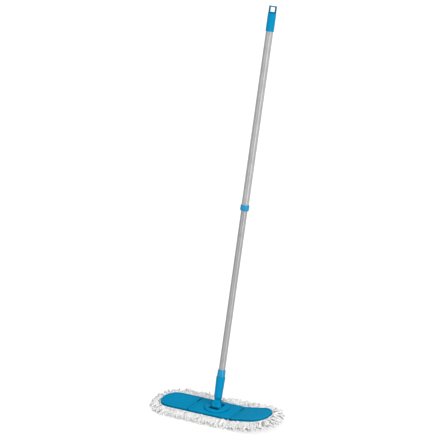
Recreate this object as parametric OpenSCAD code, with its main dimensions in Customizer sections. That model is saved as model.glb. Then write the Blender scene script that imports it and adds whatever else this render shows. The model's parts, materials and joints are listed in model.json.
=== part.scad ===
// Flat dust mop with a telescopic steel handle, a two-axis joint, a hinged
// three-piece plate and a looped-yarn pad held on by hook strips.
// Frame: millimetres, +Z up, origin on the floor under the middle of the plate,
// +X along the plate, +Y towards the back, where the handle leans.

/* [Handle] */
// Lean of the handle towards the back, in degrees from vertical
handle_lean = 16.5; // [0:0.5:40]
// Outside diameter of the upper tube
upper_tube_d = 24; // [23:0.1:24.4]
// Outside diameter of the lower tube
lower_tube_d = 21; // [20:0.1:21]
// Wall of both tubes
tube_wall = 0.7; // [0.5:0.1:0.8]
// Distance up the handle, from the tilt axis, where the lower tube comes out of the thread ferrule
lower_tube_start = 124.2; // [118:0.1:140]
// Length of lower tube that shows when the handle is fully out
lower_tube_show = 518; // [400:1:600]
// Length of lower tube that stays inside the upper tube
tube_overlap = 78; // [60:1:90]
// Length of upper tube that shows between collar and cap
upper_tube_show = 562.7; // [450:0.1:700]

/* [Cap and collar] */
// Diameter of the cap at the top of the handle
cap_d = 27; // [26.8:0.1:30]
// Length of the cap's sleeve
cap_len = 59.1; // [40:0.1:90]
// Height of the hanging loop above the sleeve
loop_h = 22.6; // [20:0.1:32]
// Width of the hanging loop
loop_w = 25.2; // [20:0.2:25.6]
// Thickness of the hanging loop, front to back
loop_t = 7; // [5:0.2:7]
// How far the loop is turned on the handle from the plate's long direction, in degrees
loop_turn = 28; // [-90:1:90]
// Width of the hole in the hanging loop
loop_hole_w = 13.4; // [9:0.2:14]
// Height of the hole in the hanging loop
loop_hole_h = 16; // [12:0.5:18]
// Diameter of the collar between the tubes
collar_d = 28.8; // [27:0.1:34]
// Length of the collar
collar_len = 20.4; // [16:0.1:30]

/* [Socket and joint] */
// Height of the tilt axis above the floor
pivot_z = 28; // [28:0.1:30]
// Distance from the tilt axis to the swivel axis
swivel_up = 13.5; // [13:0.1:15]
// Radius of both joint pins
joint_pin_r = 2.5; // [2:0.1:2.6]
// Radius of the rounded fork top about the swivel axis
fork_r = 14.9; // [14:0.1:15]
// Width of the joint block across the plate
block_w = 34; // [31:0.5:34]
// Thickness of the socket's tongue
tongue_t = 8; // [6:0.5:9]
// Top radius of the socket
socket_top_r = 14.6; // [14.4:0.1:16]
// Bottom radius of the socket
socket_low_r = 12.8; // [12:0.1:13.5]

/* [Plate] */
// Length of the plate when flat
plate_l = 390; // [340:1:460]
// Width of the plate, front to back
plate_w = 105; // [100:1:120]
// Radius of the plate's corners, seen from above
plate_corner = 46; // [30:1:50]
// Height of the plate's rim
plate_h = 8; // [8:0.5:9]
// Thickness of the plate's skin and rim
plate_t = 2.5; // [2:0.1:2.5]
// Rounding of the plate's top edge
plate_round = 3; // [2:0.5:4]
// Distance from the middle to each flap hinge
hinge_x = 78; // [70:1:90]
// Angle at which the right flap rests above flat
right_flap_rest = 10; // [0:1:20]
// Radius of the hinge knuckles
knuckle_r = 2.2; // [2:0.1:2.2]
// Radius of the hinge pins
hinge_pin_r = 1.1; // [1:0.05:1.2]
// Radius of the round boss in the middle
boss_r = 39.5; // [36:0.5:44]
// Height of the boss above the plate
boss_h = 5.5; // [5:0.1:6]

/* [Pad] */
// How far the yarn reaches past the plate's edge
yarn_reach = 40; // [20:1:50]
// Height of the yarn under the plate
yarn_h = 15.6; // [14:0.1:15.6]
// Height of the yarn ring round the plate
yarn_ring_h = 23; // [18:0.5:23.5]
// Thickness of the pad's woven backing
backing_t = 2; // [1.5:0.1:2]
// Thickness of the hook strips
strip_t = 1.4; // [1:0.1:1.4]

/* [Hidden] */
$fn = 96;

blue = [0.0, 0.49, 0.72];
grey = [0.66, 0.66, 0.67];
steel = [0.75, 0.76, 0.78];
cotton = [0.93, 0.93, 0.91];

fit = 0.08;      // radial clearance of a pin that turns in a hole
snug = 0.02;     // radial clearance of a pin that is pressed in
gap = 0.4;       // clearance between knuckles

up_r = upper_tube_d / 2;
low_r = lower_tube_d / 2;
collar_z = lower_tube_start + lower_tube_show;
collar_top = collar_z + collar_len;
cap_z = collar_top + upper_tube_show;
cap_top = cap_z + cap_len;
upper_start = collar_z + 3.4;
upper_end = cap_top - 7;
lower_end = collar_z + tube_overlap;
sleeve_z = lower_end + 2.4;
sleeve_h = 33.6;
socket_low = swivel_up + fork_r + 0.5;
socket_top = lower_tube_start - 23.3;
ferrule_z = socket_top + 0.4;

plate_z = yarn_h + backing_t + strip_t;
plate_top = plate_z + plate_h;
hinge_z = plate_top - 1.5;
edge = knuckle_r + 0.4;
end_x = plate_l / 2 - plate_corner;
corner_y = plate_w / 2 - plate_corner;
well_x = block_w / 2 + 1.5;
well_y = 23.5;

// Knuckle stations along each hinge: the middle plate's, then the flap's
mid_knuckles = [[-51, -36], [-14, 0], [40.4, 45.4]];
flap_knuckles = [[-35.6, -14.4], [0.4, 13.6], [45.8, 51]];

// The handle's own frame: its Z runs up the handle from the tilt axis
module along_handle() {
    translate([0, 0, pivot_z]) rotate([-handle_lean, 0, 0]) children();
}

// Puts a flat right-hand flap part at its rest angle
module raised() {
    translate([hinge_x, 0, hinge_z]) rotate([0, -right_flap_rest, 0]) translate([-hinge_x, 0, -hinge_z]) children();
}

// A round bar standing on its end, with rounded bottom and top edges
module rod(r, h, rb = 0, rt = 0) {
    rotate_extrude() {
        translate([0, rb]) square([r, h - rb - rt]);
        if (rb > 0) {
            square([r - rb, rb + 0.01]);
            translate([r - rb, rb]) circle(rb, $fn = 48);
        }
        if (rt > 0) {
            translate([0, h - rt - 0.01]) square([r - rt, rt + 0.01]);
            translate([r - rt, h - rt]) circle(rt, $fn = 48);
        }
    }
}

module pin_y(r, y0, y1) { translate([0, y1, 0]) rotate([90, 0, 0]) cylinder(r = r, h = y1 - y0); }
module pin_x(r, x0, x1) { translate([x0, 0, 0]) rotate([0, 90, 0]) cylinder(r = r, h = x1 - x0); }

// Draws a 2D shape in the X-Z plane and gives it a thickness along Y
module slab_xz(t) { rotate([90, 0, 0]) translate([0, 0, -t / 2]) linear_extrude(height = t) children(); }
// Draws a 2D shape in the Y-Z plane and gives it a length from x0 to x1
module slab_yz(x0, x1) { translate([x0, 0, 0]) rotate([90, 0, 90]) linear_extrude(height = x1 - x0) children(); }

// A rectangle with two rounded upper corners, standing on its bottom edge
module arch(w, h, r) {
    translate([-w / 2, 0]) square([w, h - r]);
    translate([-w / 2 + r, 0]) square([w - 2 * r, h]);
    for (s = [-1, 1]) translate([s * (w / 2 - r), h - r]) circle(r, $fn = 48);
}

module rounded_rect(w, h, r) {
    square([w, h - 2 * r], center = true);
    square([w - 2 * r, h], center = true);
    for (x = [-1, 1], y = [-1, 1]) translate([x * (w / 2 - r), y * (h / 2 - r)]) circle(r, $fn = 48);
}

// ---- upper handle ----

module hang_cap() {
    color(blue) along_handle() difference() {
        union() {
            translate([0, 0, cap_z]) rod(cap_d / 2, cap_len, 0.8, 2.4);
            translate([0, 0, cap_top - 5]) rotate([0, 0, loop_turn]) slab_xz(loop_t) arch(loop_w, loop_h + 5, 1.4);
        }
        translate([0, 0, cap_top + 3.4 + loop_hole_h / 2]) rotate([0, 0, loop_turn])
            slab_xz(loop_t + 4) rounded_rect(loop_hole_w, loop_hole_h, 0.9);
        translate([0, 0, cap_z - 1]) cylinder(r = up_r + snug, h = upper_end - cap_z + 1);
    }
}

module upper_tube() {
    color(grey) along_handle() difference() {
        translate([0, 0, upper_start]) cylinder(r = up_r, h = upper_end - upper_start - 0.05);
        translate([0, 0, upper_start - 1]) cylinder(r = up_r - tube_wall, h = upper_end - upper_start + 2);
    }
}

module lock_collar() {
    color(blue) along_handle() difference() {
        translate([0, 0, collar_z]) rod(collar_d / 2, collar_len, 4, 4);
        translate([0, 0, upper_start]) cylinder(r = up_r + snug, h = collar_len);
        translate([0, 0, collar_z - 1]) cylinder(r = low_r + 0.35, h = collar_len);
    }
}

// ---- twist lock inside the tubes ----

module lock_sleeve() {
    color("ivory") along_handle() translate([0, 0, sleeve_z + 0.35]) difference() {
        rod(up_r - tube_wall - 0.06, sleeve_h - 0.7, 0.8, 0.8);
        translate([0, 0, -1]) cylinder(r = 6, h = sleeve_h + 2);
        // one slit lets the sleeve spread against the tube
        translate([0, -1, -1]) cube([20, 2, sleeve_h + 2]);
        // grip grooves
        for (k = [0:3]) translate([0, 0, 7 + 6 * k]) difference() {
            cylinder(r = up_r, h = 1.4);
            translate([0, 0, -1]) cylinder(r = up_r - tube_wall - 0.7, h = 4);
        }
    }
}

module lock_core() {
    color("ivory") along_handle() difference() {
        union() {
            translate([0, 0, lower_end - 30]) rod(low_r - tube_wall - 0.03, 30, 1, 0);
            translate([0, 0, lower_end]) cylinder(r = low_r - 0.2, h = 2.4);
            translate([0, 0, lower_end + 2.4]) cylinder(r = 6 - fit, h = sleeve_h);
        }
        // pilot hole for the retaining screw, then a lightening bore
        translate([0, 0, sleeve_z + sleeve_h - 18]) cylinder(r = 2, h = 20);
        translate([0, 0, lower_end - 31]) cylinder(r = 5, h = 24);
    }
}

module lock_screw() {
    color(steel) along_handle() {
        translate([0, 0, sleeve_z + sleeve_h]) difference() {
            union() {
                rod(8.2, 1.4, 0.2, 0.2);
                translate([0, 0, 1.3]) rod(3.8, 2.6, 0, 0.9);
                translate([0, 0, -15]) cylinder(r = 2 - snug, h = 15.2);
            }
            for (a = [0, 90]) rotate([0, 0, a]) translate([-2.2, -0.45, 2.2]) cube([4.4, 0.9, 3]);
        }
    }
}

// ---- lower handle ----

module lower_tube() {
    color(grey) along_handle() difference() {
        translate([0, 0, 62]) cylinder(r = low_r, h = lower_end - 62);
        translate([0, 0, 61]) cylinder(r = low_r - tube_wall, h = lower_end - 60);
    }
}

// Tapered guard ring with a coarse screw below it, closed at the bottom
module thread_ferrule() {
    color(blue) along_handle() difference() {
        union() {
            translate([0, 0, ferrule_z]) cylinder(r1 = 13.4, r2 = 12.7, h = lower_tube_start - ferrule_z - 3);
            translate([0, 0, lower_tube_start - 3]) cylinder(r1 = 12.7, r2 = 11.8, h = 3);
            translate([0, 0, 59]) rod(11.5, ferrule_z - 58, 1.5, 0);
            for (k = [0:6]) translate([0, 0, 63 + 5 * k]) {
                cylinder(r1 = 11.5, r2 = 12.2, h = 1);
                translate([0, 0, 1]) cylinder(r = 12.2, h = 0.8);
                translate([0, 0, 1.8]) cylinder(r1 = 12.2, r2 = 11.5, h = 1);
            }
        }
        translate([0, 0, 62]) cylinder(r = low_r + snug, h = lower_tube_start);
    }
}

module handle_socket() {
    color(blue) along_handle() difference() {
        union() {
            rotate_extrude() polygon([[0, socket_low], [10.2, socket_low], [10.9, socket_low + 1.4],
                [socket_low_r - 0.7, socket_low + 3.6], [socket_low_r, socket_low + 5.2],
                [socket_top_r, socket_top - 3], [socket_top_r, socket_top - 1.2],
                [socket_top_r - 0.8, socket_top], [0, socket_top]]);
            slab_xz(tongue_t) {
                translate([0, swivel_up]) circle(7.5);
                polygon([[-7.5, swivel_up], [7.5, swivel_up], [10.2, socket_low + 0.5], [-10.2, socket_low + 0.5]]);
            }
        }
        // threaded bore, its ridges standing between the ferrule's
        translate([0, 0, 56]) cylinder(r = 12.4, h = socket_top);
        translate([0, 0, 48]) cylinder(r = 7, h = 20);
        translate([0, 0, swivel_up]) pin_y(joint_pin_r + fit, -20, 20);
        // lead-in
        translate([0, 0, socket_top - 1.2]) cylinder(r1 = 12.4, r2 = 13.3, h = 1.3);
    }
}

// ---- joint block, a fork on a cross pin ----

module joint_block() {
    color(blue) along_handle() difference() {
        intersection() {
            slab_xz(30) {
                translate([0, swivel_up]) circle(fork_r);
                polygon([[-block_w / 2, -6.5], [block_w / 2, -6.5], [block_w / 2, 6.5],
                    [fork_r - 0.3, swivel_up + 2], [-fork_r + 0.3, swivel_up + 2], [-block_w / 2, 6.5]]);
            }
            slab_yz(-20, 20) {
                circle(6.5);
                polygon([[-9.8, -1.4], [9.8, -1.4], [12, 1], [13, 2.6], [13, 6.5], [10.4, 14], [8.2, 30],
                    [-8.2, 30], [-10.4, 14], [-13, 6.5], [-13, 2.6], [-12, 1]]);
            }
            rotate_extrude() polygon([[0, -7], [17.4, -7], [17.4, 6.5], [15.6, 14], [12, 30], [0, 30]]);
        }
        translate([-20, -tongue_t / 2 - 0.35, swivel_up - 7.9]) cube([40, tongue_t + 0.7, 40]);
        pin_x(joint_pin_r + snug, -20, 20);
        translate([0, 0, swivel_up]) {
            pin_y(joint_pin_r + snug, -20, 20);
            // seats for the swivel pin's two heads
            pin_y(4.5, -20, -8.73);
            pin_y(4, 8.73, 20);
        }
    }
}

module tilt_pin() {
    color(steel) along_handle() pin_x(joint_pin_r, -25, 25);
}

module swivel_pin() {
    color(blue) along_handle() translate([0, 0, swivel_up]) {
        pin_y(joint_pin_r, -9.5, 9.5);
        translate([0, -8.75, 0]) rotate([90, 0, 0]) rod(4.4, 1.7, 0, 0.8);
        translate([0, 8.75, 0]) rotate([-90, 0, 0]) rod(3.9, 1.5, 0, 0.7);
    }
}

// ---- plate ----

// Knuckles of one hinge, for a part that lies on the side s of the hinge line
module knuckles(list, s, bore) {
    for (k = list) translate([hinge_x, 0, hinge_z]) difference() {
        union() {
            pin_y(knuckle_r, k[0], k[1]);
            translate([s > 0 ? 0 : -edge - 1, k[0], -knuckle_r]) cube([edge + 1, k[1] - k[0], 2.9]);
        }
        pin_y(hinge_pin_r + bore, k[0] - 1, k[1] + 1);
    }
}

module plate_section(inset = 0) {
    if (inset == 0) translate([0, plate_z]) arch(plate_w, plate_h, plate_round);
    else translate([-plate_w / 2 + inset, plate_z - 1]) square([plate_w - 2 * inset, plate_h - inset + 1]);
}

// The same section seen outward from the centre of a corner
module corner_section(inset = 0) {
    intersection() {
        translate([-corner_y, 0]) plate_section(inset);
        square([plate_w, 60]);
    }
}

// Solid or cavity of a flap: a straight part and an end with two round corners
module flap_body(x0, inset = 0) {
    slab_yz(x0, end_x) plate_section(inset);
    translate([end_x, 0, 0]) slab_xz(2 * corner_y) corner_section(inset);
    for (s = [-1, 1]) translate([end_x, s * corner_y, 0]) rotate([0, 0, s > 0 ? 0 : -90])
        rotate_extrude(angle = 90) corner_section(inset);
}

module flap() {
    difference() {
        flap_body(hinge_x + edge);
        flap_body(hinge_x + edge + plate_t, plate_t);
        // shallow sunk panel
        translate([0, 0, plate_top - 0.6]) linear_extrude(height = 2) {
            translate([hinge_x + edge + 7, -plate_w / 2 + 8]) square([end_x - hinge_x - edge - 7, plate_w - 16]);
            translate([end_x, -corner_y]) square([plate_corner - 8, 2 * corner_y]);
            for (s = [-1, 1]) translate([end_x, s * corner_y]) circle(plate_corner - 8);
        }
    }
    // stiffening ribs
    for (y = [-26, 0, 26]) translate([hinge_x + edge + 1, y - 0.9, plate_z])
        cube([plate_l / 2 - (y == 0 ? 1.5 : 6) - hinge_x - edge - 1, 1.8, plate_h - 1.2]);
    for (x = [hinge_x + 32, end_x]) translate([x - 0.9, -plate_w / 2 + 1.5, plate_z]) cube([1.8, plate_w - 3, plate_h - 1.2]);
    knuckles(flap_knuckles, 1, fit);
}

module left_flap() { color(blue) mirror([1, 0, 0]) flap(); }
module right_flap() { color(blue) raised() flap(); }

module center_plate() {
    x1 = hinge_x - edge;
    color(blue) {
        difference() {
            union() {
                difference() {
                    union() {
                        slab_yz(-x1, x1) plate_section();
                        translate([0, 0, plate_z + 2]) rod(boss_r, plate_h + boss_h - 2, 0, 5);
                    }
                    slab_yz(-x1 + plate_t, x1 - plate_t) plate_section(plate_t);
                    translate([0, 0, plate_z - 1]) cylinder(r = boss_r - plate_t, h = plate_h + boss_h - plate_t + 1 - 1.6);
                    // shallow sunk panels either side of the boss
                    for (s = [-1, 1]) translate([0, 0, plate_top - 0.6]) linear_extrude(height = 0.65) difference() {
                        translate([s > 0 ? 34 : -x1 + 7, -plate_w / 2 + 8]) square([x1 - 7 - 34, plate_w - 16]);
                        circle(boss_r + 3);
                    }
                }
                // walls of the joint well, and the two blocks that carry the tilt pin
                translate([-well_x - 2.4, -well_y - 2.4, plate_z]) cube([2 * well_x + 4.8, 2 * well_y + 4.8, plate_h + boss_h - 1]);
                for (s = [-1, 1]) translate([s * (well_x + 4) - 4, -8, plate_z]) cube([8, 16, plate_h + boss_h - 1]);
                // stiffening ribs
                for (y = [-32, 32]) translate([-x1 + 1, y - 0.9, plate_z]) cube([2 * x1 - 2, 1.8, plate_h - 1.2]);
                for (x = [-54, 54]) translate([x - 0.9, -plate_w / 2 + 1.5, plate_z]) cube([1.8, plate_w - 3, plate_h - 1.2]);
            }
            translate([0, 0, plate_z - 1]) linear_extrude(height = 30) rounded_rect(2 * well_x, 2 * well_y, 3);
            translate([0, 0, pivot_z]) pin_x(joint_pin_r + fit, -25.4, 25.4);
        }
        knuckles(mid_knuckles, -1, snug);
        mirror([1, 0, 0]) knuckles(mid_knuckles, -1, snug);
    }
}

module flap_hinge_pins() {
    color(steel) for (s = [-1, 1]) translate([s * hinge_x, 0, hinge_z]) pin_y(hinge_pin_r, -50.6, 50.6);
}

// ---- pad ----

// The plate's outline grown by grow, cut to x0..x1
module outline(grow, x0, x1) {
    intersection() {
        union() {
            square([2 * end_x, plate_w + 2 * grow], center = true);
            square([plate_l + 2 * grow, 2 * corner_y], center = true);
            for (x = [-1, 1], y = [-1, 1]) translate([x * end_x, y * corner_y]) circle(plate_corner + grow, $fn = 128);
        }
        translate([x0, -200]) square([x1 - x0, 400]);
    }
}

module strip(x0, x1) {
    color([0.12, 0.13, 0.14]) translate([0, 0, plate_z - strip_t]) linear_extrude(height = strip_t) outline(-2, x0, x1);
}
module backing(x0, x1) {
    color([0.86, 0.87, 0.86]) translate([0, 0, yarn_h]) linear_extrude(height = backing_t) outline(3, x0, x1);
}
module yarn(x0, x1) {
    color(cotton) {
        linear_extrude(height = yarn_h) outline(yarn_reach, x0, x1);
        translate([0, 0, yarn_h - 0.01]) linear_extrude(height = yarn_ring_h - yarn_h + 0.01) difference() {
            outline(yarn_reach, x0, x1);
            outline(3.2, x0 - 5, x1 + 5);
        }
    }
}

half = hinge_x - 0.3;
far = plate_l;

module hook_strip_mid() { strip(-half, half); }
module hook_strip_left() { strip(-far, -hinge_x - 0.3); }
module hook_strip_right() { raised() strip(hinge_x + 0.3, far); }
module pad_backing_mid() { backing(-half, half); }
module pad_backing_left() { backing(-far, -hinge_x - 0.3); }
module pad_backing_right() { raised() backing(hinge_x + 0.3, far); }
module pad_yarn_mid() { yarn(-half, half); }
module pad_yarn_left() { yarn(-far, -hinge_x - 0.3); }
module pad_yarn_right() { raised() yarn(hinge_x + 0.3, far); }

hang_cap();
upper_tube();
lock_collar();
lock_sleeve();
lock_core();
lock_screw();
lower_tube();
thread_ferrule();
handle_socket();
joint_block();
tilt_pin();
swivel_pin();
center_plate();
flap_hinge_pins();
left_flap();
right_flap();
hook_strip_mid();
hook_strip_left();
hook_strip_right();
pad_backing_mid();
pad_backing_left();
pad_backing_right();
pad_yarn_mid();
pad_yarn_left();
pad_yarn_right();
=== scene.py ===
import json
import math

import bpy
import numpy as np
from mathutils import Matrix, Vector


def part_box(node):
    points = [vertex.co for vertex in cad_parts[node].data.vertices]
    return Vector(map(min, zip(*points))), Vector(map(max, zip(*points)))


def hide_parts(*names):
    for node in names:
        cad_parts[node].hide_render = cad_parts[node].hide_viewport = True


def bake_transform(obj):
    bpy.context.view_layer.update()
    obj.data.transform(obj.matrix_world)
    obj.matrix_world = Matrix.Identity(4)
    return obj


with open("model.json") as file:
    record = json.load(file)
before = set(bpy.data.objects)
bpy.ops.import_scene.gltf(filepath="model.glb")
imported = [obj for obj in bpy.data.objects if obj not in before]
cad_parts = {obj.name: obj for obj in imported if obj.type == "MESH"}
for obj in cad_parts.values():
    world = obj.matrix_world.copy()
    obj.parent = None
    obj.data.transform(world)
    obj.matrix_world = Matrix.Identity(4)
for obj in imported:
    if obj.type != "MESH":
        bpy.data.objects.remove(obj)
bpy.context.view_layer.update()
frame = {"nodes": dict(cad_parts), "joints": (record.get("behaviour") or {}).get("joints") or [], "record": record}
rng = np.random.default_rng(20185)
nodes = frame["nodes"]
record = frame["record"]
joints = {j["name"]: j for j in frame["joints"]}

# ------------------------------------------------------------------ frame facts
HINGE_X = joints["right_flap_hinge"]["pos_m"][0]
HINGE_Z = joints["right_flap_hinge"]["pos_m"][2]
FLAP_UP = math.radians(-joints["right_flap_hinge"]["range_deg"][0])
PIVOT_Z = joints["tilt"]["pos_m"][2]
UP_AXIS = np.array(joints["telescope"]["axis"], float)
LEAN = math.atan2(UP_AXIS[1], UP_AXIS[2])
PLATE_HW = (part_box("center_plate")[1].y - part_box("center_plate")[0].y) / 2
PLATE_HL = -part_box("left_flap")[0].x
CORNER = 0.046                                        # radius of the plate's corners
PLATE_END, PLATE_SIDE = PLATE_HL - CORNER, PLATE_HW - CORNER
RIM_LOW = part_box("center_plate")[0].z                 # underside of the plate's rim
PAD_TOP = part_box("pad_backing_mid")[1].z
YARN_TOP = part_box("pad_backing_mid")[0].z


def lerp(a, b, t):
    return a + (b - a) * t


def smooth(t):
    t = np.clip(t, 0, 1)
    return t * t * (3 - 2 * t)


def lift_right(p, w):
    """Turns points about the right flap's hinge by the share w of its rest angle."""
    a = w * FLAP_UP
    x, z = p[..., 0] - HINGE_X, p[..., 2] - HINGE_Z
    out = p.copy()
    out[..., 0] = HINGE_X + x * np.cos(a) - z * np.sin(a)
    out[..., 2] = HINGE_Z + x * np.sin(a) + z * np.cos(a)
    return out


BLEND = 0.016   # half the width over which the pad bends at a hinge


def bent(p):
    """The flat pad's points, with the right end lifted as its flap is at rest."""
    return lift_right(p, smooth((p[..., 0] - HINGE_X + BLEND) / (2 * BLEND)))


# ------------------------------------------------------------------ materials
def new_mat(name):
    m = bpy.data.materials.new(name)
    m.use_nodes = True
    nt = m.node_tree
    b = nt.nodes["Principled BSDF"]
    return m, nt, b


def node(nt, kind, **props):
    n = nt.nodes.new(kind)
    inputs = props.pop("inputs", {})
    for k, v in props.items():
        setattr(n, k, v)
    for k, v in inputs.items():
        n.inputs[k].default_value = v
    return n


def ramp(nt, fac, stops):
    r = nt.nodes.new("ShaderNodeValToRGB")
    e = r.color_ramp.elements
    while len(e) < len(stops):
        e.new(0.5)
    for i, (p, c) in enumerate(stops):
        e[i].position = p
        e[i].color = (*c, 1) if len(c) == 3 else c
    nt.links.new(fac, r.inputs["Fac"])
    return r


def edge_shade_mask(nt, radius):
    """Mask for the painted edge shade: 1 along convex and concave edges, 0 on flats."""
    bev = node(nt, "ShaderNodeBevel", samples=4, inputs={"Radius": radius})
    geo = node(nt, "ShaderNodeNewGeometry")
    dot = node(nt, "ShaderNodeVectorMath", operation="DOT_PRODUCT")
    nt.links.new(bev.outputs["Normal"], dot.inputs[0])
    nt.links.new(geo.outputs["Normal"], dot.inputs[1])
    return ramp(nt, dot.outputs["Value"], [(0.80, (1, 1, 1)), (0.985, (0, 0, 0))])


# Blue moulded plastic with painted shade: darkened edges, darkened side walls and, if asked, a darkened band above a
# level up the handle.
def plastic(name, base, dark, light, rough=0.34, grain=0.00012, edge=0.0016, shine=0.05, edge_shade_amount=0.55, side=1.0, above=None):
    m, nt, b = new_mat(name)
    tc = node(nt, "ShaderNodeTexCoord")
    big = node(nt, "ShaderNodeTexNoise", inputs={"Scale": 9.0, "Detail": 3.0, "Roughness": 0.55})
    nt.links.new(tc.outputs["Object"], big.inputs["Vector"])
    col = ramp(nt, big.outputs["Fac"], [(0.30, dark), (0.52, base), (0.78, light)])
    # painted shade: convex and concave edges are mixed towards a deeper blue, broken up by a scuff noise, so they look
    # shaded
    mask = edge_shade_mask(nt, edge)
    scuff_and_shade_noise = node(nt, "ShaderNodeTexNoise", inputs={"Scale": 160.0, "Detail": 4.0, "Roughness": 0.7})
    nt.links.new(tc.outputs["Object"], scuff_and_shade_noise.inputs["Vector"])
    sr = ramp(nt, scuff_and_shade_noise.outputs["Fac"], [(0.45, (0, 0, 0)), (0.62, (1, 1, 1))])
    edge_shade_breakup = node(nt, "ShaderNodeMath", operation="MULTIPLY_ADD", inputs={1: 0.35, 2: 0.65})
    nt.links.new(sr.outputs["Color"], edge_shade_breakup.inputs[0])
    shaded_edge_weight = node(nt, "ShaderNodeMath", operation="MULTIPLY", inputs={1: edge_shade_amount})
    nt.links.new(mask.outputs["Color"], shaded_edge_weight.inputs[0])
    amount = node(nt, "ShaderNodeMath", operation="MULTIPLY")
    nt.links.new(edge_shade_breakup.outputs[0], amount.inputs[0])
    nt.links.new(shaded_edge_weight.outputs[0], amount.inputs[1])
    mix = node(nt, "ShaderNodeMix", data_type="RGBA")
    nt.links.new(amount.outputs[0], mix.inputs["Factor"])
    nt.links.new(col.outputs["Color"], mix.inputs["A"])
    # the deeper colour of the painted edge shade
    mix.inputs["B"].default_value = (dark[0] * 0.7, dark[1] * 0.52, dark[2] * 0.58, 1)
    # painted shade: side walls are darkened against the level faces, down to the factor side where the normal lies
    # flat
    sep = node(nt, "ShaderNodeSeparateXYZ")
    nt.links.new(tc.outputs["Normal"], sep.inputs[0])
    level = node(nt, "ShaderNodeMath", operation="ABSOLUTE")
    nt.links.new(sep.outputs["Z"], level.inputs[0])
    wall_shade_ramp = ramp(nt, level.outputs[0], [(0.15, (side, side, side)), (0.8, (1, 1, 1))])
    shaded_walls = node(nt, "ShaderNodeMix", data_type="RGBA", blend_type="MULTIPLY", inputs={"Factor": 1.0})
    nt.links.new(mix.outputs["Result"], shaded_walls.inputs["A"])
    nt.links.new(wall_shade_ramp.outputs["Color"], shaded_walls.inputs["B"])
    last = shaded_walls.outputs["Result"]
    if above is not None:
        # painted shade: the thin-walled loop over this level, measured up the handle, is darkened by the given share,
        # standing in for the shading of its narrow bars
        level_at, share = above
        dot = node(nt, "ShaderNodeVectorMath", operation="DOT_PRODUCT")
        nt.links.new(tc.outputs["Object"], dot.inputs[0])
        dot.inputs[1].default_value = tuple(UP_AXIS)
        loop_shade_factor = node(nt, "ShaderNodeMapRange", inputs={"From Min": level_at - 0.0008, "From Max": level_at + 0.0008, "To Min": 1.0, "To Max": share})
        nt.links.new(dot.outputs["Value"], loop_shade_factor.inputs["Value"])
        loop_shade = node(nt, "ShaderNodeVectorMath", operation="SCALE")
        nt.links.new(last, loop_shade.inputs[0])
        nt.links.new(loop_shade_factor.outputs["Result"], loop_shade.inputs["Scale"])
        last = loop_shade.outputs["Vector"]
    nt.links.new(last, b.inputs["Base Color"])
    # moulded grain: fine spark-eroded texture with sparse long hairline scratches
    fine = node(nt, "ShaderNodeTexNoise", inputs={"Scale": 2600.0, "Detail": 2.0, "Roughness": 0.6})
    nt.links.new(tc.outputs["Object"], fine.inputs["Vector"])
    mp = node(nt, "ShaderNodeMapping", inputs={"Scale": (1.0, 26.0, 9.0), "Rotation": (0.2, 0.1, 0.5)})
    nt.links.new(tc.outputs["Object"], mp.inputs["Vector"])
    scr = node(nt, "ShaderNodeTexNoise", inputs={"Scale": 30.0, "Detail": 6.0, "Roughness": 0.75})
    nt.links.new(mp.outputs["Vector"], scr.inputs["Vector"])
    scr_r = ramp(nt, scr.outputs["Fac"], [(0.62, (0, 0, 0)), (0.70, (1, 1, 1))])
    rr = node(nt, "ShaderNodeMapRange", inputs={"From Min": 0.2, "From Max": 0.8, "To Min": rough - 0.05, "To Max": rough + 0.09})
    nt.links.new(scuff_and_shade_noise.outputs["Fac"], rr.inputs["Value"])
    radd = node(nt, "ShaderNodeMath", operation="MULTIPLY_ADD", inputs={1: 0.10})
    nt.links.new(scr_r.outputs["Color"], radd.inputs[0])
    nt.links.new(rr.outputs["Result"], radd.inputs[2])
    nt.links.new(radd.outputs[0], b.inputs["Roughness"])
    h = node(nt, "ShaderNodeMath", operation="MULTIPLY_ADD", inputs={1: -0.5})
    nt.links.new(scr_r.outputs["Color"], h.inputs[0])
    nt.links.new(fine.outputs["Fac"], h.inputs[2])
    bump = node(nt, "ShaderNodeBump", inputs={"Strength": 0.35, "Distance": grain})
    nt.links.new(h.outputs[0], bump.inputs["Height"])
    nt.links.new(bump.outputs["Normal"], b.inputs["Normal"])
    b.inputs["Specular IOR Level"].default_value = shine
    return m


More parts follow.
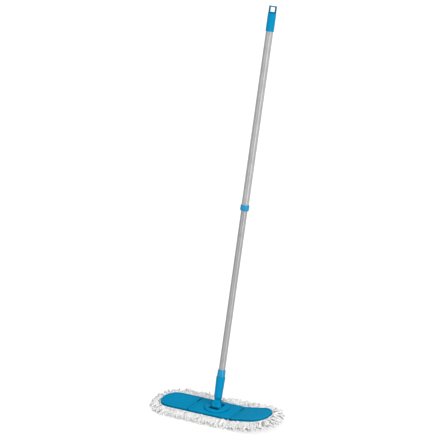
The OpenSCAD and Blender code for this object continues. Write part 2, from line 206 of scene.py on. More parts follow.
def coated_tube(name, tone=1.0):
    m, nt, b = new_mat(name)
    tc = node(nt, "ShaderNodeTexCoord")
    along = node(nt, "ShaderNodeMapping", inputs={"Rotation": (LEAN, 0, 0), "Scale": (1.0, 1.0, 0.045)})
    nt.links.new(tc.outputs["Object"], along.inputs["Vector"])
    streak = node(nt, "ShaderNodeTexNoise", inputs={"Scale": 420.0, "Detail": 4.0, "Roughness": 0.65})
    nt.links.new(along.outputs["Vector"], streak.inputs["Vector"])
    spots = node(nt, "ShaderNodeTexNoise", inputs={"Scale": 24.0, "Detail": 5.0, "Roughness": 0.6})
    nt.links.new(tc.outputs["Object"], spots.inputs["Vector"])
    base = ramp(nt, spots.outputs["Fac"], [(0.3, (0.31 * tone, 0.31 * tone, 0.315 * tone)), (0.7, (0.355 * tone, 0.355 * tone, 0.361 * tone))])
    tint = ramp(nt, streak.outputs["Fac"], [(0.35, (0.92, 0.92, 0.92)), (0.65, (1.0, 1.0, 1.0))])
    mul = node(nt, "ShaderNodeMix", data_type="RGBA", blend_type="MULTIPLY", inputs={"Factor": 1.0})
    nt.links.new(base.outputs["Color"], mul.inputs["A"])
    nt.links.new(tint.outputs["Color"], mul.inputs["B"])
    nt.links.new(mul.outputs["Result"], b.inputs["Base Color"])
    b.inputs["Metallic"].default_value = 0.35
    rr = node(nt, "ShaderNodeMapRange", inputs={"From Min": 0.3, "From Max": 0.7, "To Min": 0.27, "To Max": 0.38})
    nt.links.new(streak.outputs["Fac"], rr.inputs["Value"])
    nt.links.new(rr.outputs["Result"], b.inputs["Roughness"])
    peel = node(nt, "ShaderNodeTexNoise", inputs={"Scale": 900.0, "Detail": 2.0, "Roughness": 0.5})
    nt.links.new(tc.outputs["Object"], peel.inputs["Vector"])
    add = node(nt, "ShaderNodeMath", operation="MULTIPLY_ADD", inputs={1: 0.6})
    nt.links.new(streak.outputs["Fac"], add.inputs[0])
    nt.links.new(peel.outputs["Fac"], add.inputs[2])
    bump = node(nt, "ShaderNodeBump", inputs={"Strength": 0.25, "Distance": 0.00012})
    nt.links.new(add.outputs[0], bump.inputs["Height"])
    nt.links.new(bump.outputs["Normal"], b.inputs["Normal"])
    return m


def metal(name, tint=(0.62, 0.62, 0.64)):
    m, nt, b = new_mat(name)
    tc = node(nt, "ShaderNodeTexCoord")
    n1 = node(nt, "ShaderNodeTexNoise", inputs={"Scale": 700.0, "Detail": 4.0, "Roughness": 0.7})
    nt.links.new(tc.outputs["Object"], n1.inputs["Vector"])
    c = ramp(nt, n1.outputs["Fac"], [(0.3, tuple(x * 0.75 for x in tint)), (0.7, tint)])
    nt.links.new(c.outputs["Color"], b.inputs["Base Color"])
    b.inputs["Metallic"].default_value = 1.0
    rr = node(nt, "ShaderNodeMapRange", inputs={"From Min": 0.3, "From Max": 0.7, "To Min": 0.22, "To Max": 0.42})
    nt.links.new(n1.outputs["Fac"], rr.inputs["Value"])
    nt.links.new(rr.outputs["Result"], b.inputs["Roughness"])
    bump = node(nt, "ShaderNodeBump", inputs={"Strength": 0.3, "Distance": 0.00008})
    nt.links.new(n1.outputs["Fac"], bump.inputs["Height"])
    nt.links.new(bump.outputs["Normal"], b.inputs["Normal"])
    return m


def nylon(name):
    m, nt, b = new_mat(name)
    tc = node(nt, "ShaderNodeTexCoord")
    n1 = node(nt, "ShaderNodeTexNoise", inputs={"Scale": 60.0, "Detail": 4.0, "Roughness": 0.6})
    nt.links.new(tc.outputs["Object"], n1.inputs["Vector"])
    c = ramp(nt, n1.outputs["Fac"], [(0.3, (0.66, 0.63, 0.54)), (0.7, (0.78, 0.76, 0.68))])
    nt.links.new(c.outputs["Color"], b.inputs["Base Color"])
    b.inputs["Roughness"].default_value = 0.42
    b.inputs["Subsurface Weight"].default_value = 0.1
    fine = node(nt, "ShaderNodeTexNoise", inputs={"Scale": 1800.0, "Detail": 2.0})
    nt.links.new(tc.outputs["Object"], fine.inputs["Vector"])
    bump = node(nt, "ShaderNodeBump", inputs={"Strength": 0.3, "Distance": 0.0001})
    nt.links.new(fine.outputs["Fac"], bump.inputs["Height"])
    nt.links.new(bump.outputs["Normal"], b.inputs["Normal"])
    return m


def hook_tape(name):
    m, nt, b = new_mat(name)
    tc = node(nt, "ShaderNodeTexCoord")
    v = node(nt, "ShaderNodeTexVoronoi", inputs={"Scale": 620.0, "Randomness": 0.35})
    nt.links.new(tc.outputs["Object"], v.inputs["Vector"])
    c = ramp(nt, v.outputs["Distance"], [(0.15, (0.014, 0.048, 0.088)), (0.6, (0.003, 0.012, 0.024))])
    nt.links.new(c.outputs["Color"], b.inputs["Base Color"])
    b.inputs["Roughness"].default_value = 0.7
    bump = node(nt, "ShaderNodeBump", invert=True, inputs={"Strength": 0.9, "Distance": 0.0008})
    nt.links.new(v.outputs["Distance"], bump.inputs["Height"])
    nt.links.new(bump.outputs["Normal"], b.inputs["Normal"])
    return m


def cotton(name, dark, mid, light, uv_scale=(1.0, 1.0)):
    """Twisted cotton yarn. UV x goes round the yarn and y along it, in yarn turns."""
    m, nt, b = new_mat(name)
    uv = node(nt, "ShaderNodeUVMap", uv_map="Yarn")
    mp = node(nt, "ShaderNodeMapping", inputs={"Rotation": (0, 0, 0.62), "Scale": (uv_scale[0], uv_scale[1], 1)})
    nt.links.new(uv.outputs["UV"], mp.inputs["Vector"])
    wave = node(nt, "ShaderNodeTexWave", bands_direction="X", wave_profile="SIN",
                inputs={"Scale": 1.6, "Distortion": 2.4, "Detail": 3.0, "Detail Scale": 2.0, "Detail Roughness": 0.6})
    nt.links.new(mp.outputs["Vector"], wave.inputs["Vector"])
    tc = node(nt, "ShaderNodeTexCoord")
    n1 = node(nt, "ShaderNodeTexNoise", inputs={"Scale": 26.0, "Detail": 4.0, "Roughness": 0.65})
    nt.links.new(tc.outputs["Object"], n1.inputs["Vector"])
    c1 = ramp(nt, n1.outputs["Fac"], [(0.28, dark), (0.5, mid), (0.72, light)])
    c2 = ramp(nt, wave.outputs["Fac"], [(0.0, (0.86, 0.86, 0.855)), (0.45, (1, 1, 1))])
    mul = node(nt, "ShaderNodeMix", data_type="RGBA", blend_type="MULTIPLY", inputs={"Factor": 1.0})
    nt.links.new(c1.outputs["Color"], mul.inputs["A"])
    nt.links.new(c2.outputs["Color"], mul.inputs["B"])
    # painted shade: each strand is darkened by its own random share, standing in for the shading that differs from
    # strand to strand
    strand_shade_uv = node(nt, "ShaderNodeUVMap", uv_map="Tone")
    sep = node(nt, "ShaderNodeSeparateXYZ")
    nt.links.new(strand_shade_uv.outputs["UV"], sep.inputs[0])
    c3 = ramp(nt, sep.outputs["X"], [(0.0, (0.87, 0.87, 0.865)), (0.35, (0.96, 0.96, 0.96)), (0.8, (1, 1, 1))])
    mul2 = node(nt, "ShaderNodeMix", data_type="RGBA", blend_type="MULTIPLY", inputs={"Factor": 1.0})
    nt.links.new(mul.outputs["Result"], mul2.inputs["A"])
    nt.links.new(c3.outputs["Color"], mul2.inputs["B"])
    nt.links.new(mul2.outputs["Result"], b.inputs["Base Color"])
    b.inputs["Roughness"].default_value = 0.92
    b.inputs["Specular IOR Level"].default_value = 0.15
    b.inputs["Sheen Weight"].default_value = 0.25
    b.inputs["Sheen Roughness"].default_value = 0.5
    fuzz = node(nt, "ShaderNodeTexNoise", inputs={"Scale": 1500.0, "Detail": 4.0, "Roughness": 0.7})
    nt.links.new(tc.outputs["Object"], fuzz.inputs["Vector"])
    add = node(nt, "ShaderNodeMath", operation="MULTIPLY_ADD", inputs={1: 0.7})
    nt.links.new(fuzz.outputs["Fac"], add.inputs[0])
    nt.links.new(wave.outputs["Fac"], add.inputs[2])
    bump = node(nt, "ShaderNodeBump", inputs={"Strength": 0.7, "Distance": 0.0006})
    nt.links.new(add.outputs[0], bump.inputs["Height"])
    nt.links.new(bump.outputs["Normal"], b.inputs["Normal"])
    return m


def canvas(name, c0, c1, pitch=0.0011):
    """Plain weave from two crossed waves, in object space."""
    m, nt, b = new_mat(name)
    tc = node(nt, "ShaderNodeTexCoord")
    k = 1 / pitch / 20 * 2 * math.pi / math.pi
    wx = node(nt, "ShaderNodeTexWave", bands_direction="X", inputs={"Scale": k, "Distortion": 0.6, "Detail": 1.0, "Detail Scale": 3.0})
    wy = node(nt, "ShaderNodeTexWave", bands_direction="Y", inputs={"Scale": k, "Distortion": 0.6, "Detail": 1.0, "Detail Scale": 3.0})
    for w in (wx, wy):
        nt.links.new(tc.outputs["Object"], w.inputs["Vector"])
    mx = node(nt, "ShaderNodeMath", operation="MULTIPLY")
    nt.links.new(wx.outputs["Fac"], mx.inputs[0])
    nt.links.new(wy.outputs["Fac"], mx.inputs[1])
    n1 = node(nt, "ShaderNodeTexNoise", inputs={"Scale": 40.0, "Detail": 4.0})
    nt.links.new(tc.outputs["Object"], n1.inputs["Vector"])
    c = ramp(nt, mx.outputs[0], [(0.0, c0), (0.6, c1)])
    t = ramp(nt, n1.outputs["Fac"], [(0.3, (0.9, 0.9, 0.89)), (0.7, (1, 1, 1))])
    mul = node(nt, "ShaderNodeMix", data_type="RGBA", blend_type="MULTIPLY", inputs={"Factor": 1.0})
    nt.links.new(c.outputs["Color"], mul.inputs["A"])
    nt.links.new(t.outputs["Color"], mul.inputs["B"])
    nt.links.new(mul.outputs["Result"], b.inputs["Base Color"])
    b.inputs["Roughness"].default_value = 0.88
    b.inputs["Specular IOR Level"].default_value = 0.2
    b.inputs["Sheen Weight"].default_value = 0.15
    bump = node(nt, "ShaderNodeBump", inputs={"Strength": 0.6, "Distance": 0.0005})
    nt.links.new(mx.outputs[0], bump.inputs["Height"])
    nt.links.new(bump.outputs["Normal"], b.inputs["Normal"])
    return m


# the plate's side walls carry painted shade, darkened to 0.66
BLUE = plastic("blue_plate", (0.001, 0.196, 0.366), (0.001, 0.184, 0.346), (0.002, 0.208, 0.386), shine=0.012, side=0.66)
BLUE_BLOCK = plastic("blue_block", (0.001, 0.196, 0.366), (0.001, 0.184, 0.346), (0.002, 0.208, 0.386), shine=0.03)
BLUE_HANDLE = plastic("blue_handle", (0.001, 0.192, 0.365), (0.001, 0.180, 0.345), (0.002, 0.204, 0.385), rough=0.27, shine=0.03)
CAP_TOP = float(np.dot(np.array(record["mounts"][2]["pos_m"]), UP_AXIS)) - 0.0114   # up the handle to the sleeve's top
# painted shade: the hanging loop above the sleeve's top is darkened to half
BLUE_CAP = plastic("blue_cap", (0.001, 0.192, 0.365), (0.001, 0.180, 0.345), (0.002, 0.204, 0.385), rough=0.27, shine=0.03,
                   above=(CAP_TOP, 0.5))
BLUE_RING = plastic("blue_ring", (0.001, 0.200, 0.375), (0.001, 0.188, 0.355), (0.002, 0.212, 0.395), rough=0.24, shine=0.28)
TUBE = coated_tube("grey_coat")
TUBE_LOW = coated_tube("grey_coat_lower", 0.86)
STEEL = metal("plated_steel")
DARK_STEEL = metal("hinge_wire", (0.03, 0.10, 0.17))
NYLON = nylon("natural_nylon")
HOOKS = hook_tape("hook_tape")
YARN = cotton("cotton_yarn", (0.85, 0.85, 0.845), (0.90, 0.90, 0.895), (0.94, 0.94, 0.935))
CANVAS = canvas("backing_canvas", (0.55, 0.55, 0.54), (0.80, 0.80, 0.785))
TAPE = canvas("binding_tape", (0.66, 0.66, 0.65), (0.90, 0.90, 0.89), pitch=0.0008)

# ------------------------------------------------------------------ CAD pieces keep their shape
for n, mat in {
    "hang_cap": BLUE_CAP, "lock_collar": BLUE_RING, "thread_ferrule": BLUE_RING,
    "handle_socket": BLUE_HANDLE, "joint_block": BLUE_BLOCK, "center_plate": BLUE, "left_flap": BLUE,
    "right_flap": BLUE, "upper_tube": TUBE, "lower_tube": TUBE_LOW, "lock_sleeve": NYLON, "lock_core": NYLON,
    "lock_screw": STEEL, "tilt_pin": STEEL, "swivel_pin": BLUE_BLOCK, "flap_hinge_pins": DARK_STEEL,
    "hook_strip_mid": HOOKS, "hook_strip_left": HOOKS, "hook_strip_right": HOOKS,
}.items():
    o = nodes[n]
    o.data.materials.clear()
    o.data.materials.append(mat)


# ------------------------------------------------------------------ mesh helpers
def mesh_object(name, verts, quads, tris=None, mat=None, uv=None, smooth_shade=True, tone=None):
    me = bpy.data.meshes.new(name)
    verts = np.asarray(verts, np.float32).reshape(-1, 3)
    quads = np.asarray(quads, np.int32).reshape(-1, 4)
    tris = np.zeros((0, 3), np.int32) if tris is None else np.asarray(tris, np.int32).reshape(-1, 3)
    me.vertices.add(len(verts))
    me.vertices.foreach_set("co", verts.ravel())
    loops = np.concatenate([quads.ravel(), tris.ravel()])
    me.loops.add(len(loops))
    me.loops.foreach_set("vertex_index", loops)
    starts = np.concatenate([np.arange(len(quads)) * 4, len(quads) * 4 + np.arange(len(tris)) * 3])
    me.polygons.add(len(starts))
    me.polygons.foreach_set("loop_start", starts.astype(np.int32))
    if uv is not None:
        layer = me.uv_layers.new(name="Yarn")
        layer.data.foreach_set("uv", np.asarray(uv, np.float32)[loops].ravel())
    # the per-strand painted shade, as a second UV layer
    if tone is not None:
        layer = me.uv_layers.new(name="Tone")
        layer.data.foreach_set("uv", np.asarray(tone, np.float32)[loops].ravel())
    me.update(calc_edges=True)
    me.validate()
    me.polygons.foreach_set("use_smooth", np.full(len(me.polygons), smooth_shade))
    ob = bpy.data.objects.new(name, me)
    bpy.context.scene.collection.objects.link(ob)
    if mat is not None:
        me.materials.append(mat)
    return ob


def yarn_mesh(name, paths, radius, mat, sides=6, lobes=0.16, turn=0.55):
    """Closed twisted tubes along many paths of equal point count. paths is (n, m, 3)."""
    n, m, _ = paths.shape
    tan = np.gradient(paths, axis=1)
    tan /= np.linalg.norm(tan, axis=2, keepdims=True) + 1e-12
    # a frame carried along each path
    ref = np.zeros((n, 3))
    ref[:] = (0.31, 0.17, 0.93)
    nor = np.zeros_like(paths)
    a = ref - (ref * tan[:, 0]).sum(1, keepdims=True) * tan[:, 0]
    a /= np.linalg.norm(a, axis=1, keepdims=True)
    nor[:, 0] = a
    for i in range(1, m):
        a = nor[:, i - 1] - (nor[:, i - 1] * tan[:, i]).sum(1, keepdims=True) * tan[:, i]
        nor[:, i] = a / (np.linalg.norm(a, axis=1, keepdims=True) + 1e-12)
    bi = np.cross(tan, nor)
    k = np.arange(sides)
    ang = 2 * np.pi * k / sides
    lobe = 1 + lobes * np.where(k % 2 == 0, 1.0, -1.0)
    phase = rng.uniform(0, 6.28, n)
    spin = phase[:, None] + np.arange(m)[None, :] * turn
    th = ang[None, None, :] + spin[:, :, None]
    rad = np.asarray(radius).reshape(-1, 1, 1) * lobe[None, None, :] * np.ones((n, m, 1))
    rad[:, 0] *= 0.55
    rad[:, -1] *= 0.55
    ring = (paths[:, :, None, :] + rad[..., None] * (np.cos(th)[..., None] * nor[:, :, None, :] + np.sin(th)[..., None] * bi[:, :, None, :]))
    verts = ring.reshape(n, m * sides, 3)
    ends = np.stack([paths[:, 0], paths[:, -1]], 1)
    verts = np.concatenate([verts, ends], 1)
    per = m * sides + 2
    i = np.arange(m - 1)[:, None] * sides + k[None, :]
    j = np.arange(m - 1)[:, None] * sides + (k[None, :] + 1) % sides
    q = np.stack([i, j, j + sides, i + sides], -1).reshape(-1, 4)
    cap0 = np.stack([np.full(sides, m * sides), (k + 1) % sides, k], -1)
    base = (m - 1) * sides
    cap1 = np.stack([np.full(sides, m * sides + 1), base + k, base + (k + 1) % sides], -1)
    t = np.concatenate([cap0, cap1])
    off = np.arange(n)[:, None, None] * per
    uvx = np.tile(k / sides * 3.0, m)
    uvy = np.repeat(np.arange(m) * 0.35, sides)
    uv1 = np.concatenate([np.stack([uvx, uvy], 1), np.zeros((2, 2))])
    uv = np.concatenate([uv1 + rng.uniform(0, 9, 2) for _ in range(n)])
    # a random painted shade per strand, read by the yarn material
    tone = np.repeat(rng.uniform(0.02, 0.98, (n, 2)), per, axis=0)
    return mesh_object(name, verts.reshape(-1, 3), (q[None] + off).reshape(-1, 4), (t[None] + off).reshape(-1, 3), mat, uv, tone=tone)


# ------------------------------------------------------------------ the pad
# the plate's outline, anticlockwise from the front left: four sides, each followed by a corner
SIDES = [((-PLATE_END, -PLATE_HW), (1, 0), 2 * PLATE_END), ((PLATE_HL, -PLATE_SIDE), (0, 1), 2 * PLATE_SIDE),
         ((PLATE_END, PLATE_HW), (-1, 0), 2 * PLATE_END), ((-PLATE_HL, PLATE_SIDE), (0, -1), 2 * PLATE_SIDE)]
CORNERS = [(PLATE_END, -PLATE_SIDE, -90), (PLATE_END, PLATE_SIDE, 0), (-PLATE_END, PLATE_SIDE, 90), (-PLATE_END, -PLATE_SIDE, 180)]
ARC = math.pi / 2 * CORNER
PERIM = sum(s[2] for s in SIDES) + 4 * ARC


def rim(q, grow):
    """Point and outward direction on the plate's outline, q metres round it, moved out by grow."""
    q = np.asarray(q, float) % PERIM
    p, n = np.zeros(q.shape + (2,)), np.zeros(q.shape + (2,))
    at = 0.0
    for (start, along, length), (cx, cy, deg) in zip(SIDES, CORNERS):
        m = (q >= at) & (q < at + length)
        p[m] = np.array(start) + np.array(along) * (q[m] - at)[:, None]
        n[m] = (along[1], -along[0])
        at += length
        m = (q >= at) & (q < at + ARC)
        a = math.radians(deg) + (q[m] - at) / CORNER
        n[m] = np.stack([np.cos(a), np.sin(a)], -1)
        p[m] = np.array((cx, cy)) + n[m] * CORNER
        at += ARC
    return p + n * np.asarray(grow, float)[..., None], n


MM = 0.001


def fringe_tier(count, start, reach, root_z, top_z, top_at, tip_z, width, radius, lean=0.22, points=26, wobble=1.2):
    """Hairpin loops round the rim. Lengths in mm. start is where the roots are outside the rim."""
    q = (np.arange(count) + rng.uniform(-0.35, 0.35, count)) / count * PERIM
    st = rng.normal(start, 0.5, count)
    root, out = rim(q, st * MM)
    turn = rng.normal(0, lean, count)
    c, s = np.cos(turn), np.sin(turn)
    out = np.stack([out[:, 0] * c - out[:, 1] * s, out[:, 0] * s + out[:, 1] * c], -1)
    side = np.stack([-out[:, 1], out[:, 0]], -1)
    # strands behind the plate are pushed up and out, and those in front hang down
    behind = smooth((rim(q, 0.0)[1][:, 1] + 0.15) / 1.1)
    # the tips lie on a longer curve than the plate's corners do
    facing = rim(q, 0.0)[1]
    cut = 6.0 * np.abs(facing[:, 0] * facing[:, 1]) + 2.5 * np.clip(facing[:, 0], 0, 1) + 2.5 * np.clip(-facing[:, 1], 0, 1)
    rc = np.clip(rng.normal(reach, reach * 0.085, count), 0, reach * 1.15) + 3.0 * behind - cut - st
    heap = 6.0 * np.exp(-(((q - PLATE_END) / MM - 66) / 40) ** 2)    # bunched up by the raised flap
    back = (q - SIDES[0][2] - SIDES[1][2] - 2 * ARC) / MM            # along the back, from the right corner
    tuft = 4.0 * np.exp(-((back - 110) / 45) ** 2) - 3.0 * np.exp(-((back - 330) / 50) ** 2) - 7.0 * np.exp(-((back + 15) / 34) ** 2)
    tz = rng.normal(top_z, 1.2, count) + (7.5 + tuft) * behind + heap * (top_z / 17.0) ** 2
    ta = np.clip(rng.normal(top_at, 2.0, count), 4, 40)
    ez = np.maximum(rng.normal(tip_z, 1.2, count), 0.5) + (12.0 + tuft) * behind * min(tip_z / 9.5, 1.2)
    w = rng.normal(width, width * 0.2, count)
    roll = rng.normal(0, 0.55, count)
    ph = np.linspace(0, np.pi, points)
    d = rc[:, None] * np.sin(ph)[None, :] ** 0.72
    lat = -np.cos(ph)[None, :] * w[:, None] / 2 * (0.55 + 0.55 * np.sin(ph)[None, :] ** 2)
    e = d / rc[:, None]
    f = np.clip(ta / rc, 0.12, 0.85)[:, None]
    rise = np.where(e < f, root_z + 0.6 * (heap * (top_z / 17.0) ** 2)[:, None] + (tz[:, None] - root_z - 0.6 * (heap * (top_z / 17.0) ** 2)[:, None]) * np.sin(np.clip(e / f, 0, 1) * np.pi / 2) ** 0.9,
                    tz[:, None] + (ez[:, None] - tz[:, None]) * ((e - f) / (1 - f)) ** 1.6)
    k = rng.uniform(0, 6.28, (count, 3))
    wob = wobble * np.sin(ph)[None, :]
    l2 = lat * np.cos(roll)[:, None] + wob * np.sin(2.3 * ph[None, :] + k[:, :1])
    z2 = rise + lat * np.sin(roll)[:, None] + 0.7 * wob * np.sin(3.1 * ph[None, :] + k[:, 1:2])
    # a slow sideways sweep, so that the strands don't lie like spokes
    sweep = rng.normal(0, 2.6, count)[:, None] * e ** 2
    # and the tips gather in small bunches
    qm = q / MM
    bunch = -1.2 * np.sin(2 * np.pi * qm / 9.2 + 1.6 * np.sin(qm / 23.0) + 1.1 * np.sin(qm / 9.7 + 2.0))
    l2 = l2 + sweep + bunch[:, None] * e ** 2
    xy = root[:, None, :] + (out[:, None, :] * d[..., None] + side[:, None, :] * l2[..., None]) * MM
    p = np.concatenate([xy, z2[..., None] * MM], -1)
    r = rng.normal(radius, radius * 0.08, count) * MM
    return p, r, q


def settle(p, r, floor=0.0):
    """Keeps every strand on or above the floor."""
    low = floor + r[:, None] * 1.05
    z = p[..., 2]
    p[..., 2] = np.where(z < low + 0.002, low + 0.002 * np.exp(np.minimum(z - low - 0.002, 0) / 0.002), z)
    return p


def place(p, r, droop):
    """Bends the pad's right end up with its flap, and lets strands there hang by the share droop."""
    flat_x = p[..., 0].copy()
    out = bent(p)
    root_x = flat_x[:, :1]
    raised = np.maximum(out[..., 2] - p[..., 2], 0)
    tip = np.linalg.norm(p - p[:, :1], axis=2)
    share = smooth(tip / 0.034) * droop
    out[..., 2] -= raised * share
    return settle(out, r)


tiers = [
    # count, start, reach, root z, top z, top at, tip z, width, radius, lean, droop; millimetres
    (164, 4.8, 33, 15.0, 17.4, 9, 11.0, 6.6, 1.8, 0.28, 0.0),
    (170, 4.2, 36, 13.6, 15.0, 10, 8.0, 6.8, 1.8, 0.26, 0.04),
    (184, 1.0, 37, 9.5, 10.5, 12, 4.6, 7.0, 1.8, 0.24, 0.08),
    (184, -2.0, 36, 5.5, 5.8, 12, 2.2, 7.2, 1.8, 0.22, 0.1),
    (160, -2.0, 35, 7.5, 7.8, 12, 3.4, 7.2, 1.8, 0.22, 0.4),
    (44, 4.6, 31, 15.0, 19.0, 11, 12.5, 6.0, 1.6, 0.5, 0.0),
]
left_p, left_r, right_p, right_r = [], [], [], []
for count, start, reach, rz, tz, ta, ez, w, radius, lean, droop in tiers:
    p, r, q = fringe_tier(count, start, reach, rz, tz, ta, ez, w, radius, lean)
    p = place(p, r, droop)
    is_left = p[:, :, 0].mean(1) < 0
    left_p.append(p[is_left]); left_r.append(r[is_left])
    right_p.append(p[~is_left]); right_r.append(r[~is_left])

# a few strays that stand up behind the plate
stray_q = SIDES[0][2] + SIDES[1][2] + 2 * ARC + PLATE_END - np.array([0.108, 0.062, -0.058, -0.141])
sp, sn = rim(stray_q, 0.006)
t = np.linspace(0, 1, 26)[None, :, None]
fold = np.concatenate([np.linspace(0, 1, 13), np.linspace(1, 0, 13)])[None, :, None]
side = np.stack([-sn[:, 1], sn[:, 0]], -1)[:, None, :]
sway = rng.normal(0, 0.006, (4, 1, 1))
xy = sp[:, None, :] + sn[:, None, :] * (0.020 * fold) + side * (0.003 * np.cos(t * np.pi) + sway * fold ** 2)
z = 0.016 + 0.026 * fold[..., 0] ** 1.3 * np.array([[1.0], [0.8], [0.9], [0.7]])
p = bent(np.concatenate([xy, np.broadcast_to(z, xy.shape[:2])[..., None]], -1))
for one in p:
    (left_p if one[:, 0].mean() < 0 else right_p).append(one[None])
    (left_r if one[:, 0].mean() < 0 else right_r).append(np.array([0.0017]))

fringe_left = yarn_mesh("yarn_fringe_left", np.concatenate(left_p), np.concatenate(left_r), YARN)
fringe_right = yarn_mesh("yarn_fringe_right", np.concatenate(right_p), np.concatenate(right_r), YARN)


def pile(spacing=8.2, radius=1.9, points=13, sides=5):
    """Short loops that hang from the backing to the floor, over the whole underside."""
    xs, ys = [], []
    row = 0
    y = -PLATE_HW * 1000 - 1
    while y <= PLATE_HW * 1000 + 1:
        x = -PLATE_HL * 1000 + (spacing / 2 if row % 2 else 0)
        while x <= PLATE_HL * 1000:
            if math.hypot(max(abs(x) - PLATE_END * 1000, 0), max(abs(y) - PLATE_SIDE * 1000, 0)) < CORNER * 1000 + 1.5:
                xs.append(x); ys.append(y)
            x += spacing
        y += spacing * 0.866
        row += 1
    n = len(xs)
    xy = np.stack([xs, ys], 1) + rng.uniform(-1.6, 1.6, (n, 2))
    az = rng.uniform(0, 2 * np.pi, n)
    d = np.stack([np.cos(az), np.sin(az)], 1)
    leanv = rng.normal(0, 3.2, (n, 2))
    ph = np.linspace(0, np.pi, points)
    w = rng.normal(6.5, 1.0, n)
    drop = rng.normal(13.4, 0.6, n)
    off = -np.cos(ph)[None, :] * w[:, None] / 2 * (0.6 + 0.5 * np.sin(ph)[None, :])
    h = np.sin(ph)[None, :] ** 0.7
    z = YARN_TOP * 1000 + 0.3 - drop[:, None] * h
    pos = xy[:, None, :] + d[:, None, :] * off[..., None] + leanv[:, None, :] * h[..., None]
    p = np.concatenate([pos, z[..., None]], -1) * MM
    r = rng.normal(radius, 0.12, n) * MM
    return p, r


pp, pr = pile()
pp = settle(bent(pp), pr)
is_left = pp[:, :, 0].mean(1) < 0
pile_left = yarn_mesh("yarn_pile_left", pp[is_left], pr[is_left], YARN, sides=5, lobes=0.0, turn=0.5)
pile_right = yarn_mesh("yarn_pile_right", pp[~is_left], pr[~is_left], YARN, sides=5, lobes=0.0, turn=0.5)


def half_backing(name, sign):
    """Woven backing: a thin closed sheet, from the middle line to one round end."""
    grow, t0, t1 = 0.0028, YARN_TOP + 0.0003, PAD_TOP - 0.0004
    nx, ny = 90, 22
    xs = np.concatenate([np.linspace(0, PLATE_END, 60), PLATE_END + (CORNER + grow) * np.sin(np.linspace(0, math.pi / 2, nx - 59))[1:]])
    hw = np.where(xs <= PLATE_END, PLATE_HW + grow, PLATE_SIDE + np.sqrt(np.maximum((CORNER + grow) ** 2 - (xs - PLATE_END) ** 2, 0)))
    v = np.linspace(-1, 1, ny)
    x = np.repeat(xs, ny)
    y = (hw[:, None] * v[None, :]).ravel()
    ripple = 0.00018 * np.sin(x * 210) * np.sin(y * 160)
    top = np.stack([x * sign, y, t1 + ripple], -1)
    low = np.stack([x * sign, y, t0 + ripple], -1)
    n = nx * ny
    i = (np.arange(nx - 1)[:, None] * ny + np.arange(ny - 1)[None, :]).ravel()
    qt = np.stack([i, i + ny, i + ny + 1, i + 1], -1)
    ql = np.stack([i + 1, i + ny + 1, i + ny, i], -1) + n
    edge = np.concatenate([np.arange(nx) * ny, (nx - 1) * ny + np.arange(1, ny), (np.arange(nx - 2, -1, -1)) * ny + ny - 1, np.arange(ny - 2, 0, -1)])
    e2 = np.roll(edge, -1)
    qs = np.stack([edge, edge + n, e2 + n, e2], -1)
    quads = np.concatenate([qt, ql, qs])
    if sign < 0:
        quads = quads[:, ::-1]
    pts = bent(np.concatenate([top, low]))
    return mesh_object(name, pts, quads, None, CANVAS)


def half_tape(name, sign):
    """Binding tape folded over the backing's edge, with a puckered run of stitches."""
    # path along the outline for this half
    q_mid_front, q_mid_back = PLATE_END, PERIM / 2 + PLATE_END
    n = 260
    q = np.linspace(q_mid_front, q_mid_back, n) if sign > 0 else np.linspace(q_mid_back, q_mid_front + PERIM, n)
    c, out = rim(q, 0.0)
    prof = []
    half_h, wide, edge_out = 1.55, 8.5, 3.9
    zc = (YARN_TOP + PAD_TOP) / 2 * 1000 + 0.1
    for a in np.linspace(-90, 90, 9):
        prof.append((edge_out - half_h + half_h * math.cos(math.radians(a)), zc + half_h * math.sin(math.radians(a))))
    prof += [(-1.0, zc + half_h - 0.1), (-wide + edge_out, zc + half_h - 0.5), (-wide + edge_out, zc + 0.9),
             (0.0, zc + 0.75), (0.0, zc - 0.75), (-wide + edge_out, zc - 0.9), (-wide + edge_out, zc - half_h + 0.5), (-1.0, zc - half_h + 0.1)]
    prof = np.array(prof)
    m = len(prof)
    s = np.arange(n)[:, None]
    pucker = 0.10 * np.sin(q * 1000 / 3.0)[:, None] * (prof[None, :, 0] > 0.5)
    g = (prof[None, :, 0] + pucker) * MM
    z = np.broadcast_to(prof[None, :, 1], (n, m)) * MM + 0.00018 * np.sin(q * 1000 / 2.1)[:, None]
    xy = c[:, None, :] + out[:, None, :] * g[..., None]
    pts = np.concatenate([xy, z[..., None]], -1)
    pts = bent(pts).reshape(-1, 3)
    k0 = np.arange(m)
    i = (np.arange(n - 1)[:, None] * m + k0[None, :]).ravel()
    j = (np.arange(n - 1)[:, None] * m + ((k0 + 1) % m)[None, :]).ravel()
    quads = np.stack([i, i + m, j + m, j], -1)
    # close both ends with a fan
    cen0, cen1 = pts[:m].mean(0), pts[-m:].mean(0)
    pts = np.concatenate([pts, [cen0], [cen1]])
    t0 = np.stack([np.full(m, n * m), k0, (k0 + 1) % m], -1)
    t1 = np.stack([np.full(m, n * m + 1), (n - 1) * m + (k0 + 1) % m, (n - 1) * m + k0], -1)
    return mesh_object(name, pts, quads, np.concatenate([t0, t1]), TAPE)


backing_left = half_backing("pad_backing_sheet_left", -1)
backing_right = half_backing("pad_backing_sheet_right", 1)
tape_left = half_tape("binding_tape_left", -1)
tape_right = half_tape("binding_tape_right", 1)

for o, s in ((fringe_left, -1), (pile_left, -1), (backing_left, -1), (tape_left, -1),
             (fringe_right, 1), (pile_right, 1), (backing_right, 1), (tape_right, 1)):
    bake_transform(o)
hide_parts("pad_yarn_left", "pad_yarn_mid")
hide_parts("pad_yarn_right")
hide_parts("pad_backing_left", "pad_backing_mid")
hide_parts("pad_backing_right")

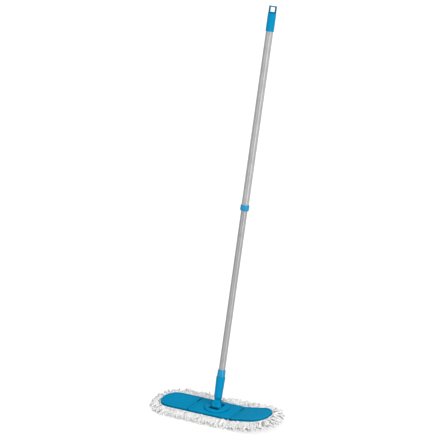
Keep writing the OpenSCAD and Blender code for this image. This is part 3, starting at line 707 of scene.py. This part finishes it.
# ------------------------------------------------------------------ floor, light, camera
AZ, EL = math.radians(29), math.radians(23)
right = Vector((math.cos(AZ), math.sin(AZ), 0))
up = Vector((-math.sin(AZ) * math.sin(EL), math.cos(AZ) * math.sin(EL), math.cos(EL)))
back = Vector((math.sin(AZ) * math.cos(EL), -math.cos(AZ) * math.cos(EL), math.sin(EL)))
look = Vector((0, 0, RIM_LOW)) + right * 0.0045 + up * 0.6146
cam_data = bpy.data.cameras.new("camera")
cam = bpy.data.objects.new("camera", cam_data)
bpy.context.scene.collection.objects.link(cam)
DIST, VIEW = 30.0, 1.3952
cam_data.sensor_width = 36
cam_data.lens = 36 * DIST / VIEW
cam_data.clip_start, cam_data.clip_end = 0.1, 200
cam.location = look + back * DIST
cam.rotation_mode = "QUATERNION"
cam.rotation_quaternion = (-back).to_track_quat("-Z", "Y")
bpy.context.scene.camera = cam

fm, fnt, fb = new_mat("studio_floor")
fb.inputs["Base Color"].default_value = (0.30, 0.30, 0.30, 1)
fb.inputs["Roughness"].default_value = 0.9
fb.inputs["Specular IOR Level"].default_value = 0.0
fb.inputs["Emission Color"].default_value = (1, 1, 1, 1)
fb.inputs["Emission Strength"].default_value = 0.72
floor = mesh_object("floor", [(-30, -30, -0.0004), (30, -30, -0.0004), (30, 30, -0.0004), (-30, 30, -0.0004)], [(0, 1, 2, 3)], None, fm)

# a white backdrop far outside, so that low views have no horizon; it neither lights nor shades anything
bm_, bnt, bb = new_mat("studio_backdrop")
bb.inputs["Base Color"].default_value = (0, 0, 0, 1)
bb.inputs["Specular IOR Level"].default_value = 0.0
bb.inputs["Emission Color"].default_value = (1, 1, 1, 1)
bb.inputs["Emission Strength"].default_value = 1.0
ring_n, ring_m, ring_r = 48, 24, 38.0
bp = [(ring_r * math.sin(math.pi * j / ring_m) * math.cos(2 * math.pi * i / ring_n),
       ring_r * math.sin(math.pi * j / ring_m) * math.sin(2 * math.pi * i / ring_n),
       ring_r * math.cos(math.pi * j / ring_m)) for j in range(1, ring_m) for i in range(ring_n)]
bq = [(j * ring_n + i, j * ring_n + (i + 1) % ring_n, (j + 1) * ring_n + (i + 1) % ring_n, (j + 1) * ring_n + i)
      for j in range(ring_m - 2) for i in range(ring_n)]
backdrop = mesh_object("backdrop", bp, bq, None, bm_)
for kind in ("diffuse", "glossy", "transmission", "volume_scatter", "shadow"):
    setattr(backdrop, "visible_" + kind, False)

world = bpy.data.worlds.new("studio")
bpy.context.scene.world = world
world.use_nodes = True
wn = world.node_tree
bg = wn.nodes["Background"]
bg.inputs["Color"].default_value = (1, 1, 1, 1)
bg.inputs["Strength"].default_value = 0.29


def soft_sun(name, az, el, spread, strength):
    """Even studio light from az degrees round from the camera and el above the floor; spread is the source's width."""
    a, e = AZ + math.radians(az), math.radians(el)
    d = Vector((math.sin(a) * math.cos(e), -math.cos(a) * math.cos(e), math.sin(e)))
    li = bpy.data.lights.new(name, "SUN")
    li.energy = strength
    li.angle = math.radians(spread)
    ob = bpy.data.objects.new(name, li)
    ob.location = d * 4
    ob.rotation_mode = "QUATERNION"
    ob.rotation_quaternion = (-d).to_track_quat("-Z", "Y")
    bpy.context.scene.collection.objects.link(ob)


soft_sun("key_right", 36, 34, 26, 1.6)
soft_sun("strip_right", 31, 9, 13, 0.85)
soft_sun("strip_left", -45, 9, 15, 0.26)
soft_sun("fill_left", -30, 30, 50, 0.28)
soft_sun("top", 6, 76, 60, 2.15)

sc = bpy.context.scene
sc.view_settings.view_transform = "Standard"
sc.view_settings.look = "None"
sc.view_settings.exposure = 0.0
sc.view_settings.gamma = 1.0
